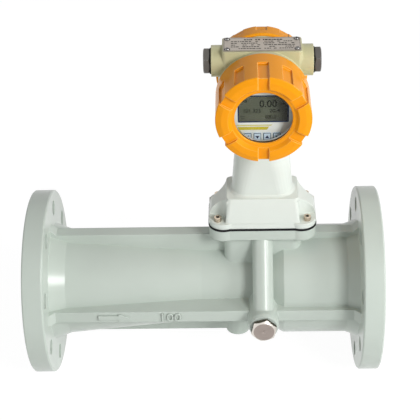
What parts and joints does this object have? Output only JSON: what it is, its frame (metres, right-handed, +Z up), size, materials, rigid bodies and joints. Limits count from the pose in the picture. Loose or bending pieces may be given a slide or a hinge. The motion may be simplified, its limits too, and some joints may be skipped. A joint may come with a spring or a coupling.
{
  "type": "precession vortex flow meter",
  "caption": "Flanged pipe flow meter with a helical swirl generator, a sensor well, a neck bracket and a swivelling two-compartment display head with screwed covers.",
  "frame": {"origin": "centre of the inlet flange's gasket face, on the pipe axis", "axes": "+X along the flow from the inlet to the outlet, +Z up towards the head, and the display looks towards -Y"},
  "size_m": [0.41, 0.22, 0.4272],
  "materials": {
    "body_paint": "satin grey-green paint on cast aluminium",
    "neck_paint": "satin light grey paint on cast aluminium",
    "head_paint": "satin cream paint on cast aluminium",
    "cover_paint": "satin orange paint on cast aluminium",
    "vane_metal": "machined",
    "stainless": "turned stainless steel",
    "plug_steel": "plated steel",
    "dark_steel": "blackened steel",
    "bare_plate": "bare satin metal plate",
    "black_rubber": "moulded rubber",
    "window_glass": "tempered glass",
    "panel_plastic": "matt film on plastic",
    "key_plastic": "matt moulded keys",
    "lcd_plastic": "dark glass display",
    "board_green": "solder mask",
    "battery_wrap": "shrink wrap",
    "terminal_plastic": "moulded",
    "brass": "turned brass"
  },
  "bodies": {
    "meter": {"meter_body": "body_paint", "swirl_generator": "vane_metal", "generator_sleeve": "vane_metal", "generator_ring": "dark_steel", "swirl_breaker": "vane_metal", "breaker_sleeve": "vane_metal", "breaker_ring": "dark_steel", "vortex_sensor": "stainless", "temperature_probe": "stainless", "pressure_sensor": "stainless", "port_plug": "stainless", "port_plug_seal": "dark_steel", "neck_gasket": "black_rubber", "neck_bracket": "neck_paint", "neck_screws": "stainless", "head_lock_screw": "dark_steel"},
    "head": {"head_housing": "head_paint", "head_partition": "head_paint", "neck_oring": "black_rubber", "display_panel": "panel_plastic", "lcd_module": "lcd_plastic", "main_board": "board_green", "board_posts": "brass", "battery_pack": "battery_wrap", "terminal_block": "terminal_plastic", "nameplate": "bare_plate", "nameplate_screws": "stainless", "conduit_plug_left": "plug_steel", "conduit_plug_right": "plug_steel", "conduit_washer_left": "black_rubber", "conduit_washer_right": "black_rubber"},
    "front_seal": {"front_cover_seal": "black_rubber"},
    "front_cover": {"front_cover": "cover_paint", "window_glass": "window_glass", "window_gasket": "black_rubber", "window_ring": "dark_steel"},
    "rear_seal": {"rear_cover_seal": "black_rubber"},
    "rear_cover": {"rear_cover": "cover_paint"},
    "key_left": {"key_left": "key_plastic"},
    "key_down": {"key_down": "key_plastic"},
    "key_up": {"key_up": "key_plastic"},
    "key_right": {"key_right": "key_plastic"}
  },
  "joints": [
    {"name": "head_swivel", "type": "hinge", "parent": "meter", "child": "head", "pos_m": [0.2735, 0, 0.214], "axis": [0, 0, 1], "range_deg": [-90, 90]},
    {"name": "front_cover_travel", "type": "slide", "parent": "head", "child": "front_seal", "axis": [0, -1, 0], "range_m": [0, 0.0081]},
    {"name": "front_cover_turn", "type": "hinge", "parent": "front_seal", "child": "front_cover", "pos_m": [0.2735, -0.05, 0.267], "axis": [0, -1, 0], "range_deg": [0, 1440]},
    {"name": "rear_cover_travel", "type": "slide", "parent": "head", "child": "rear_seal", "axis": [0, 1, 0], "range_m": [0, 0.0081]},
    {"name": "rear_cover_turn", "type": "hinge", "parent": "rear_seal", "child": "rear_cover", "pos_m": [0.2735, 0.03, 0.267], "axis": [0, 1, 0], "range_deg": [0, 1440]},
    {"name": "key_left_press", "type": "slide", "parent": "head", "child": "key_left", "axis": [0, 1, 0], "range_m": [0, 0.0004], "stiffness_N_per_m": 600},
    {"name": "key_down_press", "type": "slide", "parent": "head", "child": "key_down", "axis": [0, 1, 0], "range_m": [0, 0.0004], "stiffness_N_per_m": 600},
    {"name": "key_up_press", "type": "slide", "parent": "head", "child": "key_up", "axis": [0, 1, 0], "range_m": [0, 0.0004], "stiffness_N_per_m": 600},
    {"name": "key_right_press", "type": "slide", "parent": "head", "child": "key_right", "axis": [0, 1, 0], "range_m": [0, 0.0004], "stiffness_N_per_m": 600}
  ],
  "couplings": [
    {"joint": "front_cover_travel", "follows": "front_cover_turn", "m_per_rad": 0.00031831},
    {"joint": "rear_cover_travel", "follows": "rear_cover_turn", "m_per_rad": 0.00031831}
  ]
}
